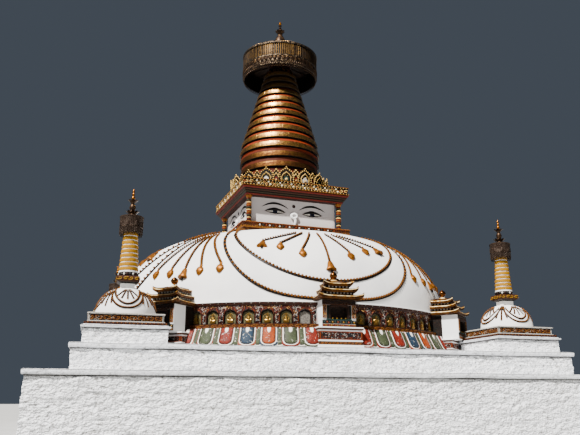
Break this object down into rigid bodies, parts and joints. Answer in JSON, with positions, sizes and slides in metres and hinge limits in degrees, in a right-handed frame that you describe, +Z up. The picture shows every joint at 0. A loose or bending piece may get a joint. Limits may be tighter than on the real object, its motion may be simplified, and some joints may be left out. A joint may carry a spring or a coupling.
{
  "type": "stupa",
  "caption": "White domed stupa on square terraces, with a niche frieze and shrines round the drum, a painted head block, a ringed spire under a parasol, and small stupas at the corners.",
  "frame": {"origin": "centre of the base on the ground", "axes": "+Z up along the spire; the front with the camera's side faces -Y; +X to the right seen from the front"},
  "size_m": [24.88, 24.88, 25.4],
  "materials": {
    "limewash": "rough limewashed masonry",
    "plaster": "smooth white plaster",
    "petal_paint": "painted plaster petals in red, blue, green and orange",
    "ledge_paint": "carved and painted scrollwork",
    "frieze_paint": "painted plaster niches",
    "cornice_paint": "painted wood and plaster",
    "jewel_paint": "painted jewelled band",
    "post_paint": "painted turned wood",
    "gilding": "gilt copper",
    "gilt_copper": "copper sheet, gilt and worn",
    "bronze": "dark bronze",
    "cone_paint": "painted plaster bands",
    "roof_gilding": "thin gilt sheet"
  },
  "bodies": {
    "root": {"lower_terrace": "limewash", "upper_terrace": "limewash", "lotus_plinth": "petal_paint", "drum_ledge": "ledge_paint", "niche_frieze": "frieze_paint", "drum_cornice": "cornice_paint", "dome": "plaster", "shrine_1": "plaster", "shrine_roof_1": "roof_gilding", "shrine_2": "plaster", "shrine_roof_2": "roof_gilding", "shrine_3": "plaster", "shrine_roof_3": "roof_gilding", "shrine_4": "plaster", "shrine_roof_4": "roof_gilding", "shrine_5": "plaster", "shrine_roof_5": "roof_gilding", "shrine_6": "plaster", "shrine_roof_6": "roof_gilding", "shrine_7": "plaster", "shrine_roof_7": "roof_gilding", "shrine_8": "plaster", "shrine_roof_8": "roof_gilding", "head_base": "jewel_paint", "head_block": "plaster", "head_post_1": "post_paint", "head_post_2": "post_paint", "head_post_3": "post_paint", "head_post_4": "post_paint", "head_cornice": "cornice_paint", "head_band": "gilding", "lotus_crown": "gilding", "spire": "gilt_copper", "spire_neck": "bronze", "parasol": "bronze", "finial": "bronze", "corner_pedestal_1": "limewash", "corner_dome_1": "plaster", "corner_spire_1": "cone_paint", "corner_parasol_1": "bronze", "corner_pedestal_2": "limewash", "corner_dome_2": "plaster", "corner_spire_2": "cone_paint", "corner_parasol_2": "bronze", "corner_pedestal_3": "limewash", "corner_dome_3": "plaster", "corner_spire_3": "cone_paint", "corner_parasol_3": "bronze", "corner_pedestal_4": "limewash", "corner_dome_4": "plaster", "corner_spire_4": "cone_paint", "corner_parasol_4": "bronze"}
  },
  "joints": []
}
